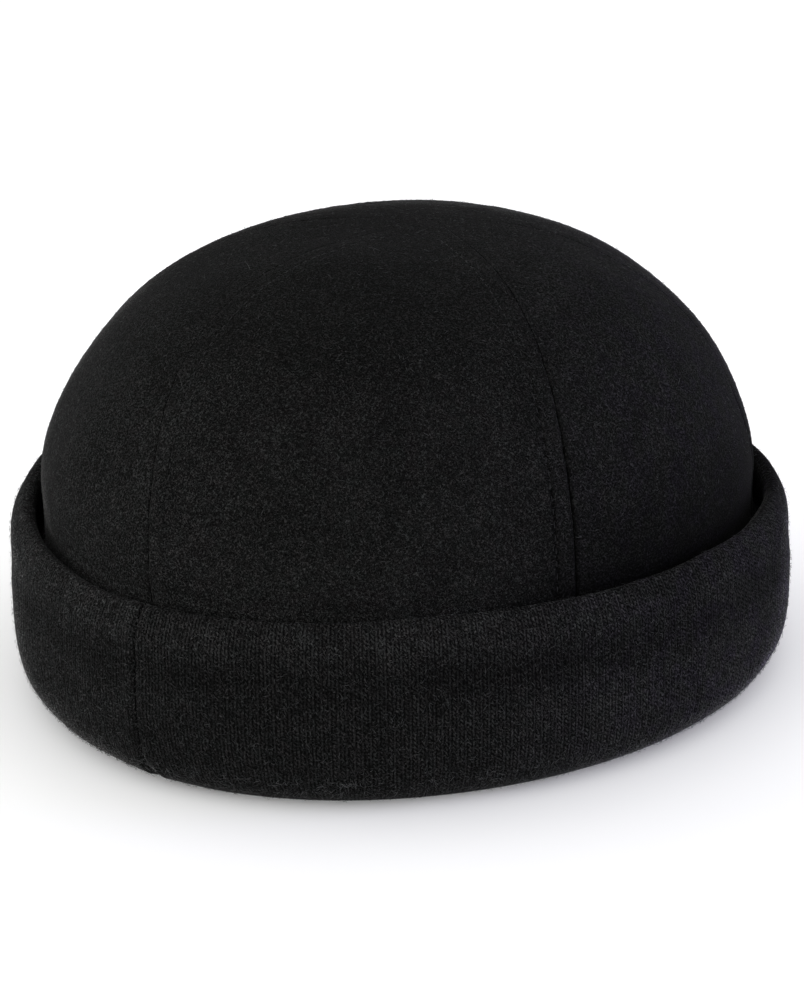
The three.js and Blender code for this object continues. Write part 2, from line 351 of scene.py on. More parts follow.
knitLook = {
    "roughness": 0.92,
    "specular": 0.03,
    "sheen": 0.03,
    "sheenRoughness": 0.15,
    "hole": (0.0012, 0.0012, 0.0012, 1),  # colour between the yarns
    "leg": (0.0375, 0.0376, 0.0375, 1),
    "hair": (0.064, 0.0642, 0.0642, 1),
    "seam": (0.0006, 0.0006, 0.0006, 1),
    "patchSize": 0.014,
    "napSize": 0.00040,
    "napShares": (0.30, 0.72),
    "hairSize": 0.0008,
    "hairLayers": [(1, 0.23), (0.75, 0.71)],
    "hairThinness": 24,
    "hairGaps": (0.48, 0.78),
    "tintSize": 0.0030,
    "wales": 348,  # upright rows of stitches round the cuff
    "courses": 150,  # stitches once round the folded wall
    # A stitch's left leg is short and slants. The right legs stand on each other and make upright lines.
    # Widths are shares of a wale, and lengths and slants are in courses.
    "leftPlace": 0.25,
    "leftWidth": 0.22,
    "leftLength": 0.40,
    "leftSlant": 1.83,
    "rightPlace": 0.75,
    "rightWidth": 0.17,
    "rightTone": 0.85,
    "rightWaist": 0.55,  # how much paler an upright line is on a stitch than between two
    "sway": 0.24,
    "swaySize": 0.0016,
    "clearSize": 1 / 620,
    "clearTones": (0.34, 0.70, 0.45, 1.35),  # noise from and to, and how clearly the stitches show
    "stitchWeight": 0.58,
    "napWeight": 0.40,
    "napDrop": 0.11,
    "stitchPower": 1.35,  # above 1 few stitches are bright and more are dim
    "hiddenLeft": 0.35,  # left of the seam more of the stitches hide under fuzz
    "leftTone": 1.38,
    "hairRelief": 0.5,
    "bumpHeight": 0.00030,
    "bumpStrength": 0.8,
    "seamHalfWidth": 0.0009,  # share of the way round the cuff
    "seamSway": 0.0007,
    # Painted light and shade up the outside, at shares of the way round the folded wall, from the floor
    "footShare": 0.15,
    "footTone": 0.75,
    "hollowShare": 0.205,
    "hollowTone": 0.57,
    "foldShare": 0.262,
    "foldTone": 1.05,  # painted highlight where the cloth rolls over at the top
    "foldHighlightCut": 0.30,  # but less so on one side
    "foldHighlightCutSide": (0.035, 0.06),
    "outsideShares": (0.250, 0.275),  # where the outside ends
    # Painted sheen: the nap is painted paler where it is seen edge on, and low at both ends of the hat also
    # where it nearly is
    "paintedSheenTone": 17,
    "paintedSheenFacing": (0.80, 0.96),
    "paintedLowSheenTone": 7,
    "paintedLowSheenFacing": (0.45, 1.0),
    "paintedLowSheenHeight": (0.018, 0.008),
    "paintedLowSheenSide": (0.03, 0.06),
    "paintedLowSheenMiddle": 0.3,  # how much of it is left between the two ends
    # Painted light and painted shade on the knit, by place
    "fades": {
        "paintedLowLight": {"tone": 1.35, "side": (0.01, 0.05), "height": (0.034, 0.020)},  # painted light low on one side
        # painted shade where the top fold rolls on into the gap before the crown
        "brink": {"tone": 0.25, "side": (0.02, 0.06), "near": (-0.03, -0.005), "from": (0.258, 0.288)},
        # painted light on the far side of that gap, and painted shade at its bottom
        "inner": {
            "tone": 6,
            "side": (0.05, 0.08),
            "near": (0.02, -0.005),
            "from": (0.296, 0.315),
            "until": (0.40, 0.46),
        },
        "deep": {"tone": 0.6, "side": (0.02, 0.06), "from": (0.40, 0.46)},
    },
}


def stitchShare(tree, place, around, up, sway, leftOfSeam):
    # 0 in the holes of the knit to about 1 on a stitch's legs
    look = knitLook
    # Places inside one stitch, each from 0 to 1
    alongWale = calc(tree, "FRACT", calc(tree, "MULTIPLY_ADD", around, look["wales"], sway))
    course = calc(tree, "MULTIPLY_ADD", up, look["courses"], sway)
    tilted = calc(tree, "FRACT", calc(tree, "MULTIPLY_ADD", alongWale, look["leftSlant"], course))
    leftLeg = bulge(tree, alongWale, look["leftPlace"], look["leftWidth"])
    leftLeg = times(tree, leftLeg, bulge(tree, tilted, 0.5, look["leftLength"]))
    onStitch = bulge(tree, calc(tree, "FRACT", course), 0.5, 0.5)
    onStitch = calc(tree, "MULTIPLY_ADD", onStitch, look["rightWaist"], 1 - look["rightWaist"])
    rightLeg = bulge(tree, alongWale, look["rightPlace"], look["rightWidth"])
    rightLeg = times(tree, rightLeg, onStitch, look["rightTone"])
    # Yarn is uneven: some stitches show clearly and others hide under the fuzz
    clearness = spread(tree, noiseAt(tree, place, look["clearSize"], 1.0), *look["clearTones"])
    clearness = times(tree, clearness, toned(tree, leftOfSeam, 1 - look["hiddenLeft"]))
    stitch = times(tree, calc(tree, "MAXIMUM", leftLeg, rightLeg), clearness)
    nap = spread(tree, noiseAt(tree, place, look["napSize"], 2.0, 0.7), *look["napShares"])
    nap = calc(tree, "MULTIPLY_ADD", nap, look["napWeight"], -look["napDrop"])
    stitch = calc(tree, "MULTIPLY_ADD", stitch, look["stitchWeight"], nap)
    return calc(tree, "POWER", calc(tree, "MAXIMUM", stitch, 0.0), look["stitchPower"])


def knitTone(tree, place, up, leftOfSeam):
    # How pale or dark the cuff is, with painted light, shade and sheen
    look = knitLook
    foldTop, hollow = look["foldShare"], look["hollowShare"]
    # Painted light on the foot and the top fold, and painted shade in the hollow between
    rising = spread(tree, up, look["footShare"], hollow, look["footTone"], look["hollowTone"])
    paler = spread(tree, up, hollow, foldTop, 0.0, look["foldTone"] - look["hollowTone"])
    foldHighlightCut = toned(tree, wayShare(tree, place, "side", *look["foldHighlightCutSide"]), 1 - look["foldHighlightCut"])
    paler = times(tree, paler, foldHighlightCut)
    outside = spread(tree, up, *look["outsideShares"], 1.0, 0.0)
    paintedSheen = times(tree, edgeOn(tree, *look["paintedSheenFacing"]), outside)
    low, high = look["paintedLowSheenSide"]
    ends = [wayShare(tree, place, "side", sign * low, sign * high) for sign in (1, -1)]
    bothEnds = calc(tree, "ADD", *ends)
    paintedLowSheen = times(
        tree,
        edgeOn(tree, *look["paintedLowSheenFacing"]),
        outside,
        wayShare(tree, place, "height", *look["paintedLowSheenHeight"]),
        calc(tree, "MULTIPLY_ADD", bothEnds, 1 - look["paintedLowSheenMiddle"], look["paintedLowSheenMiddle"]),
    )
    # Painted sheen on the edges and low down
    rims = [toned(tree, paintedSheen, look["paintedSheenTone"]), toned(tree, paintedLowSheen, look["paintedLowSheenTone"])]
    return times(
        tree,
        spread(tree, noiseAt(tree, place, look["patchSize"], 2.0), *patchTones),
        calc(tree, "ADD", rising, paler),
        # painted light and shade by place
        *[toned(tree, paintedLightShare(tree, place, fade, up), fade["tone"]) for fade in look["fades"].values()],
        toned(tree, leftOfSeam, look["leftTone"]),
        calc(tree, "MAXIMUM", *rims),
    )


def makeKnit():
    look = knitLook
    material, tree, shader = newMaterial("knittedWool", look)
    texture = addNode(tree, "ShaderNodeTexCoord")
    place = texture.outputs["Object"]
    mapped = addNode(tree, "ShaderNodeSeparateXYZ", {0: texture.outputs["UV"]})
    around, up = mapped.outputs["X"], mapped.outputs["Y"]
    wobble = noiseAt(tree, place, look["swaySize"], 1.0)
    sway = calc(tree, "MULTIPLY_ADD", wobble, look["sway"], -look["sway"] / 2)
    # The seam is where the way round begins and ends
    leftOfSeam = calc(tree, "GREATER_THAN", around, 0.5)
    fromSeam = calc(tree, "SUBTRACT", 0.5, calc(tree, "ABSOLUTE", calc(tree, "SUBTRACT", around, 0.5)))
    fromSeam = calc(tree, "MULTIPLY_ADD", sway, look["seamSway"], fromSeam)
    inSeam = bulge(tree, fromSeam, 0.0, look["seamHalfWidth"])
    stitch = stitchShare(tree, place, around, up, sway, leftOfSeam)
    hairs = hairLayers(tree, place, look)
    colour = mixColour(tree, stitch, look["hole"], look["leg"])
    colour = mixColour(tree, inSeam, colour, look["seam"])
    colour = mixColour(tree, hairs, colour, look["hair"])
    colour = tinted(tree, place, colour, look["tintSize"])
    height = calc(tree, "ADD", stitch, times(tree, hairs, look["hairRelief"]))
    dressShader(tree, shader, look, colour, knitTone(tree, place, up, leftOfSeam), height)
    return material


# Stray hairs and sewing thread

strandLook = {
    "roughness": 0.8,
    "specular": 0.2,
    "sheen": 0.0,
    "sheenRoughness": 0.5,
    "darkHair": (0.012, 0.012, 0.013, 1),
    "paleHair": (0.22, 0.222, 0.225, 1),
}


def makeStrandWool():
    # The attribute hairTone runs from 0, a dark hair, to 1, a pale one
    material, tree, shader = newMaterial("strayWool", strandLook)
    tone = addNode(tree, "ShaderNodeAttribute", attribute_name="hairTone").outputs["Fac"]
    colour = mixColour(tree, tone, strandLook["darkHair"], strandLook["paleHair"])
    tree.links.new(colour, shader.inputs["Base Color"])
    return material


threadLook = {
    "roughness": 0.7,
    "specular": 0.2,
    "sheen": 0.05,
    "sheenRoughness": 0.4,
    "dark": (0.0025, 0.0025, 0.003, 1),
    "pale": (0.009, 0.009, 0.010, 1),
    "twistSize": 0.0006,
    "twistShares": (0.35, 0.65),
    "bumpHeight": 0.0001,
    "bumpStrength": 0.5,
}


def makeThreadMaterial():
    look = threadLook
    material, tree, shader = newMaterial("sewingThread", look)
    place = addNode(tree, "ShaderNodeTexCoord").outputs["Object"]
    twist = noiseAt(tree, place, look["twistSize"], 2.0)
    share = spread(tree, twist, *look["twistShares"])
    colour = mixColour(tree, share, look["dark"], look["pale"])
    dressShader(tree, shader, look, colour, 1.0, twist)
    return material


felt = makeFelt()
knit = makeKnit()
strandWool = makeStrandWool()
sewingThread = makeThreadMaterial()
print("cloth, knit and thread finishes made")

# Shapes shared by the crown and the cuff

cuff = {
    "length": 0.204,
    "width": 0.199,
    "height": 0.0463,
    "topLean": 0.0046,
    "bottomLean": 0.0082,
    "leanPower": 4.5,
    "backNarrowing": 0.09,
    "columnsPerWale": 3,
    "ribDepth": 0.00013,
    "ribRise": 0.5,  # share of that depth by which the knit rises between two grooves
    "outsideLean": -0.2,  # the cloth counts as outside where it faces outwards more than this
    "foldStart": 0.044,  # and above this height
    "seamDepth": 0.0007,
    "seamWidth": 0.0005,
    "lipRise": 0.00028,  # a low lip runs beside the seam
    "lipPlace": 0.0022,
    "lipWidth": 0.0014,
    "notch": 0.0009,  # how far the bottom edge is drawn in at the seam
    "notchWidth": 0.0016,
    "notchHeights": (0.001, 0.009),
    "seamDrift": 1.1,  # degrees that the knit beside the seam leans over at the bottom
    "driftSpan": 16,
    "driftHeight": 0.022,
    "restHeight": 0.003,  # below this the relief fades, so that the fold lies flat
    "hairLean": 0.3,  # hairs grow where the cloth faces inwards less than this
    "hairHeight": 0.001,
    "visibleRow": 0.00108,  # spacing of the mesh's rows where they show
    "hiddenRow": 0.0033,
    "dentHeight": 0.00016,
    "dentLength": 0.028,
    "planRadius": 0.1,
    "waveHeight": 0.0001,
    "waveLength": 0.07,
    "waveHeights": (0.018, 0.046),
    # Rises and dips of the top edge: angle from +X and half width in degrees, and height
    "topWaves": [(30, 24, 0.0015), (86, 26, -0.0009), (135, 15, 0.0004), (232, 30, -0.0011)],
    # On two sides the band's inside and the foot of the crown draw in together behind the top fold
    "waist": 0.0023,
    "waistHeight": 0.043,
    "waistSpan": 0.0095,
    "waistTurn": 36,  # degrees from +X to one of the two sides where it draws in
    "creaseHeight": 0.005,
}


def unit(vectors):
    return vectors / np.linalg.norm(vectors, axis=-1, keepdims=True)


def lengthsAlong(points):
    # How far along the line each point is
    return np.concatenate([[0], np.cumsum(np.linalg.norm(np.diff(points, axis=0), axis=1))])


def planPoint(angle, halfWidth, halfLength):
    draw = 1 - cuff["backNarrowing"] * np.sin(angle)
    return np.stack([halfWidth * np.cos(angle) * draw, halfLength * np.sin(angle)], -1)


def planNormal(angle, halfWidth, halfLength):
    step = 0.001
    after = planPoint(angle + step, halfWidth, halfLength)
    along = unit(after - planPoint(angle - step, halfWidth, halfLength))
    return np.stack([along[..., 1], -along[..., 0]], -1)


def waistDraw(angle, height):
    # Nothing at the crease between the walls, most at the waist, and gone again a little above it
    climbed = np.clip((height - cuff["creaseHeight"]) / (cuff["waistHeight"] - cuff["creaseHeight"]), 0, 1)
    above = np.maximum(0, height - cuff["waistHeight"]) / cuff["waistSpan"]
    level = np.sin(climbed * math.pi / 2) * np.exp(-(above**2))
    return cuff["waist"] * level * np.cos(angle - math.radians(cuff["waistTurn"])) ** 2


def waves(points, length, seed, count=14):
    # A smooth uneven field from -1 to 1, with bumps about as long as length
    rng = np.random.default_rng(seed)
    total = np.zeros(points.shape[:-1])
    for _ in range(count):
        direction = rng.normal(size=points.shape[-1])
        direction *= 2 * math.pi / length * rng.uniform(0.6, 1.3) / np.linalg.norm(direction)
        total += np.sin(points @ direction + rng.uniform(0, 2 * math.pi))
    return total / math.sqrt(count)


def softStep(value, low, high):
    share = np.clip((value - low) / (high - low), 0, 1)
    return share * share * (3 - 2 * share)


def hump(value, middle, halfWidth):
    # 1 at the middle, fading softly on both sides
    return np.exp(-(((value - middle) / halfWidth) ** 2))


def makeMesh(name, points, faces, material, uv=None):
    # uv holds one pair for each corner of each face
    mesh = bpy.data.meshes.new(name)
    mesh.from_pydata(points.tolist(), [], faces)
    if uv is not None:
        layer = mesh.uv_layers.new(name="clothMap")
        layer.data.foreach_set("uv", np.asarray(uv, np.float32).ravel())
    mesh.shade_smooth()
    mesh.materials.append(material)
    piece = bpy.data.objects.new(name, mesh)
    bpy.context.collection.objects.link(piece)
    return piece


def gridFaces(rows, columns, closedAcross=False, closedAlong=False):
    # Quads of a grid of points, rows by columns
    row = np.arange(rows if closedAlong else rows - 1)[:, None]
    column = np.arange(columns if closedAcross else columns - 1)[None, :]
    after = (column + 1) % columns
    low, high = row * columns, (row + 1) % rows * columns
    corners = [low + column, low + after, high + after, high + column]
    return np.stack(np.broadcast_arrays(*corners), -1).reshape(-1, 4)


# Crown: six felt panels

crown = {
    "halfWidth": 0.0922,
    "halfLength": 0.0947,
    "edgeHeight": 0.0363,
    "rise": 0.0748,
    "fullness": 2.7,
    "apexForward": 0.0156,
    "apexSideways": 0.0042,
    "apexPull": 1.5,
    "tipRadius": 0.0003,
    "thickness": 0.0022,
    "seamGap": 0.00002,  # between two panels where the seam is closed
    "openSeamGap": 0.00010,  # and near the band, where it gapes
    "rows": 100,
    "tipShares": [0.040, 0.028, 0.018, 0.010, 0.006],  # reach of the rows round the tip
    "columnStep": 0.0014,
    # Millimetres from a seam to the mesh's columns beside it
    "seamColumns": [0.15, 0.35, 0.6, 0.9, 1.3, 1.9, 2.7, 3.6, 4.2, 4.5, 4.8, 5.1, 5.4, 5.7, 6.1, 6.9, 8.0],
    "narrowest": 2.6,  # they close up where a panel is narrower than the last of them times this
    "acrossSteps": 240,
    "stripWidth": 0.0051,
    "stripStart": (0.0002, 0.0014),
    "stripEnd": (0.0041, 0.0059),
    "stripRise": 0.00028,
    "reliefWidth": 4,  # the relief fades where a panel is narrower than the strip times this
    "lineDepth": 0.00026,
    "lineWidth": 0.0004,
    "closedRelief": 0.15,  # share of the strip's relief left where the seam has closed
    "seamDepth": 0.0007,
    "seamWidth": 0.00040,
    "seamShadeWidth": 0.0007,
    "lineShadeWidth": 0.00056,
    "lineShade": 1.15,
    "dentHeight": 0.00035,
    "dentLength": 0.045,
    "puckerHeight": 0.00009,
    "puckerLength": 0.007,
    "puckerReach": 0.006,
    "flatHeight": 0.012,  # dents and puckers come in over this height above the sewn edge
    "innerRelief": 0.3,  # share of the grooves that shows on the inside
    "uvWidth": 0.2,
    # Angle of each seam at the band and its swing on the way to the top, in degrees, how strongly it shows
    # at the band, and the climbs between which it fades, in radians
    "seams": [
        {"angle": 25, "swing": -12, "strength": 1, "fades": (0.25, 0.7)},
        {"angle": 90, "swing": -24, "strength": 0.34, "fades": (0.4, 1.0)},
        {"angle": 156, "swing": 7, "strength": 0.85, "fades": (0.55, 1.05)},
        {"angle": 206, "swing": 14, "strength": 0.35, "fades": (0.25, 0.7)},
        {"angle": 266, "swing": 0, "strength": 1, "fades": (0.25, 0.7)},
        {"angle": 325, "swing": 0, "strength": 1, "fades": (0.25, 0.7)},
    ],
    "closedStrength": 0.02,
}


def reachAt(climb):
    return np.maximum(np.cos(climb), 0) ** (2 / crown["fullness"])


def crownPoint(angle, climb):
    reach = reachAt(climb)
    plan = planPoint(angle, crown["halfWidth"] * reach, crown["halfLength"] * reach)
    pull = (1 - reach) ** crown["apexPull"]
    x = plan[..., 0] - crown["apexSideways"] * pull
    y = plan[..., 1] - crown["apexForward"] * pull
    height = crown["edgeHeight"] + crown["rise"] * np.sin(climb)
    draw = 1 - waistDraw(angle, height) / crown["halfWidth"]
    return np.stack(np.broadcast_arrays(x * draw, y * draw, height), -1)


def crownNormal(angle, climb):
    step = min(0.0005, (math.pi / 2 - climb) / 2)
    around = crownPoint(angle + step, climb) - crownPoint(angle - step, climb)
    upward = crownPoint(angle, climb + step) - crownPoint(angle, climb - step)
    return unit(np.cross(around, upward))


def seamAngle(number, climb):
    seam = crown["seams"][number % 6]
    wrap = 360 * (number // 6)
    return np.radians(seam["angle"] + wrap + seam["swing"] * (1 - reachAt(climb) ** 2))


def seamStrength(number, climb):
    # The brushed nap closes over a seam towards the top of the crown
    seam = crown["seams"][number % 6]
    closed = 1 - crown["closedStrength"]
    return seam["strength"] * (1 - closed * softStep(climb, *seam["fades"]))


def edgeRelief(distance, strength, stitched):
    # Height of the cloth beside a seam: a groove, and where stitched, the lifted strip and its stitch line
    groove = -crown["seamDepth"] * strength * np.exp(-((distance / crown["seamWidth"]) ** 1.5))
    if not stitched:
        return groove
    strip = softStep(distance, *crown["stripStart"]) * (1 - softStep(distance, *crown["stripEnd"]))
    line = -crown["lineDepth"] * hump(distance, crown["stripWidth"], crown["lineWidth"])
    left = crown["closedRelief"] + (1 - crown["closedRelief"]) * strength
    return groove + (crown["stripRise"] * strip + line) * left


def edgeShade(distance, strength, stitched):
    # How dark the cloth looks beside a seam
    shade = hump(distance, 0, crown["seamShadeWidth"])
    if stitched:
        shade = shade + crown["lineShade"] * hump(distance, crown["stripWidth"], crown["lineShadeWidth"])
    return np.clip(shade * strength, 0, 1)


def panelColumns(width):
    # Distances from the left edge, close together beside both seams
    nearSeam = np.array(crown["seamColumns"]) * millimetre
    left = width - 2 * nearSeam[-1]
    steps = round(left / crown["columnStep"])
    between = nearSeam[-1] + left * np.arange(1, steps) / steps
    return np.concatenate([nearSeam, between, width - nearSeam[::-1]]), len(nearSeam)


def crownPanel(number):
    stitched = number % 2 == 0
    tipShares = np.array([*crown["tipShares"], crown["tipRadius"] / crown["halfWidth"]])
    tipClimbs = np.arccos(tipShares ** (crown["fullness"] / 2))
    climbs = np.append(np.linspace(0, tipClimbs[0], crown["rows"], endpoint=False), tipClimbs)
    share = np.linspace(0, 1, crown["acrossSteps"])
    leftAngles, rightAngles = seamAngle(number - 1, climbs)[:, None], seamAngle(number, climbs)[:, None]
    angles = leftAngles * (1 - share) + rightAngles * share
    lines = crownPoint(angles, climbs[:, None] + 0 * angles)
    steps = np.linalg.norm(np.diff(lines, axis=1), axis=-1)
    lengths = np.concatenate([np.zeros((len(climbs), 1)), np.cumsum(steps, axis=1)], axis=1)
    widest = lengths[:, -1].max()
    rowSteps = np.linalg.norm(np.diff(lines[:, len(share) // 2], axis=0), axis=-1)
    area = float((rowSteps * (lengths[1:, -1] + lengths[:-1, -1]) / 2).sum())
    columns, nearCount = panelColumns(widest)
    lastNear = columns[nearCount - 1]
    lineColumn = int(np.argmin(np.abs(columns[:nearCount] - crown["stripWidth"])))
    count = len(columns)

    outside = np.zeros((len(climbs), count, 3))
    inside = np.zeros_like(outside)
    shade = np.zeros((2, len(climbs), count))
    leftStitches, rightStitches = [], []
    for row, climb in enumerate(climbs):
        width = lengths[row, -1]
        # The strips beside the seams keep their width until the panel grows too narrow for them
        near = columns[:nearCount] * min(1, width / (crown["narrowest"] * lastNear))
        between = columns[nearCount:-nearCount]
        middle = np.interp(between, (lastNear, columns[-nearCount]), (near[-1], width - near[-1]))
        strengths = [seamStrength(seam, climb) for seam in (number - 1, number)]
        gaps = [crown["seamGap"] + (crown["openSeamGap"] - crown["seamGap"]) * s for s in strengths]
        distance = np.concatenate([near, middle, width - near[::-1]])
        distance = np.clip(distance, gaps[0] / 2, width - gaps[1] / 2)
        angle = np.interp(distance, lengths[row], angles[row])
        point = crownPoint(angle, climb)
        outward = crownNormal(angle, climb)
        fromSeam = np.minimum(distance, width - distance)
        strength = np.where(distance < width / 2, strengths[0], strengths[1])
        wide = min(1, width / (crown["reliefWidth"] * crown["stripWidth"]))
        relief = edgeRelief(fromSeam, strength, stitched) * wide
        fade = softStep(point[:, 2], crown["edgeHeight"], crown["edgeHeight"] + crown["flatHeight"])
        dents = crown["dentHeight"] * waves(point, crown["dentLength"], 5)
        pucker = crown["puckerHeight"] * waves(point, crown["puckerLength"], 8)
        pucker = pucker * np.exp(-fromSeam / crown["puckerReach"])
        lift = relief + (dents + pucker) * fade
        outside[row] = point + outward * lift[:, None]
        shade[0, row] = edgeShade(fromSeam, strength, stitched) * wide
        if stitched and near[-1] > 0.9 * lastNear:
            for stitches, column in ((leftStitches, lineColumn), (rightStitches, count - 1 - lineColumn)):
                stitches.append(np.stack([outside[row, column], outward[column]]))
        depth = crown["thickness"] - np.minimum(lift, 0) * crown["innerRelief"]
        inside[row] = point - outward * depth[:, None]

    rows = len(climbs)
    total = rows * count
    outer = gridFaces(rows, count)
    inner = outer[:, ::-1] + total
    bottom = np.arange(count - 1)
    top = bottom + (rows - 1) * count
    left = np.arange(rows - 1) * count
    right = left + count - 1
    edges = ((bottom + 1, bottom), (top, top + 1), (left, left + count), (right + count, right))
    rims = np.concatenate([np.stack([a, b, b + total, a + total], -1) for a, b in edges])
    points = np.concatenate([outside.reshape(-1, 3), inside.reshape(-1, 3)])
    faces = np.concatenate([outer, inner, rims])
    u = np.tile(columns / crown["uvWidth"], rows)
    v = np.repeat(climbs / (math.pi / 2), count)
    uv = np.tile(np.stack([u, v], -1), (2, 1))
    panel = makeMesh(f"crownPanelFelt{number}", points, faces.tolist(), felt, uv[faces])
    attribute = panel.data.attributes.new("seamShade", "FLOAT", "POINT")
    attribute.data.foreach_set("value", shade.astype(np.float32).ravel())
    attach(panel, "root")
    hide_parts(f"crown_panel_{number}")
    flat = (float(widest), float(rowSteps.sum()))
    stitchLines = [np.array(line) for line in (leftStitches, rightStitches) if line]
    return panel, flat, area, points[outer], stitchLines


panels = [crownPanel(number) for number in range(1, 7)]
print("crown panels made")


# Cuff: the knitted band, folded under and turned up

def wallLean(height):
    share = 2 * height / cuff["height"] - 1
    lean = np.where(share > 0, cuff["topLean"], cuff["bottomLean"])
    return lean * np.abs(share) ** cuff["leanPower"]


# Points of the cuff's section: millimetres in from its fullest line, and up
outline = {
    "faceHeights": [0.4, 0.9, 1.6, 2.6, 4, 6, 9, 13, 18, 22, 26, 29, 32, 34.5, 37, 39, 41, 42.8, 44.1],
    # The face sinks a little under the rolled top fold and fills out on it: height, half width and depth
    "sinks": [(33, 4.5, 0.45), (41, 2.5, -0.15)],
    "rest": {
        "topFold": [(3.75, 45.5), (5.1, 46.25), (6.4, 45.6), (7.15, 44.2)],
        "slotOut": [(7.15, 41.5), (6.2, 36), (5.2, 31), (4.65, 26), (4.62, 20), (4.75, 14), (5.65, 8.5)],
        "slotBottom": [(7.25, 5.2), (7.64, 4.7), (8.0, 5.2)],
        "slotIn": [(6.3, 8.5), (5.4, 14), (5.25, 20), (5.3, 28), (5.4, 34.4)],
        "innerTop": [(5.9, 35.7), (7.6, 36), (9.4, 35.7), (9.95, 34.4)],
        "innerFace": [(9.85, 28), (9.8, 20), (9.95, 14), (10.7, 9), (12.3, 5)],
        "bottomFold": [(12.3, 2), (11.2, 0.3), (9.8, 0), (8.6, 0.02)],
    },
    "steps": 20,  # on the curve, from a point to the next
    "shownSlot": 2,  # points of the slot that can be seen
}


def cuffSection():
    # Distance in from the fullest line and height, once round the section, in metres
    face = np.array(outline["faceHeights"])
    sink = sum(depth * hump(face, middle, halfWidth) for middle, halfWidth, depth in outline["sinks"])
    outer = np.stack([wallLean(face * millimetre) / millimetre + sink, face], -1)
    rest, steps = outline["rest"], outline["steps"]
    points = np.concatenate([outer, *rest.values()])
    # A smooth closed curve through the points
    before, after, second = np.roll(points, 1, 0), np.roll(points, -1, 0), np.roll(points, -2, 0)
    parts = []
    for t in np.arange(0, 1, 1 / steps):
        square = (2 * before - 5 * points + 4 * after - second) * t**2
        cube = (3 * points - before - 3 * after + second) * t**3
        parts.append(0.5 * (2 * points + (after - before) * t + square + cube))
    curve = np.stack(parts, 1).reshape(-1, 2) * millimetre
    topEnd = len(outer) + len(rest["topFold"])
    slotTurn = topEnd + len(rest["slotOut"]) + 1
    return curve, (topEnd + outline["shownSlot"]) * steps, slotTurn * steps


def cuffRows():
    # For the mesh's rows: section points, directions out of the cloth and shares of the way round. Then the
    # share at the bottom of the slot, and the whole way.
    curve, shown, slotTurn = cuffSection()
    closed = np.concatenate([curve, curve[:1]])
    lengths = lengthsAlong(closed)
    total = lengths[-1]
    shownLength = lengths[shown]
    outerCount = round(shownLength / cuff["visibleRow"])
    hiddenCount = round((total - shownLength) / cuff["hiddenRow"])
    stops = np.concatenate([
        np.linspace(0, shownLength, outerCount, endpoint=False),
        np.linspace(shownLength, total, hiddenCount, endpoint=False),
    ])
    section = np.stack([np.interp(stops, lengths, closed[:, axis]) for axis in (0, 1)], -1)
    along = unit(np.roll(section, -1, 0) - np.roll(section, 1, 0))
    outward = np.stack([-along[:, 1], along[:, 0]], -1)
    return section, outward, stops / total, lengths[slotTurn] / total, total


def cuffAngles(count):
    # Angles an even distance apart round the cuff, from the back seam
    fine = np.linspace(math.pi / 2, 2.5 * math.pi, 7201)
    plan = planPoint(fine, cuff["width"] / 2, cuff["length"] / 2)
    lengths = lengthsAlong(plan)
    return np.interp(np.arange(count) / count * lengths[-1], lengths, fine), lengths[-1]


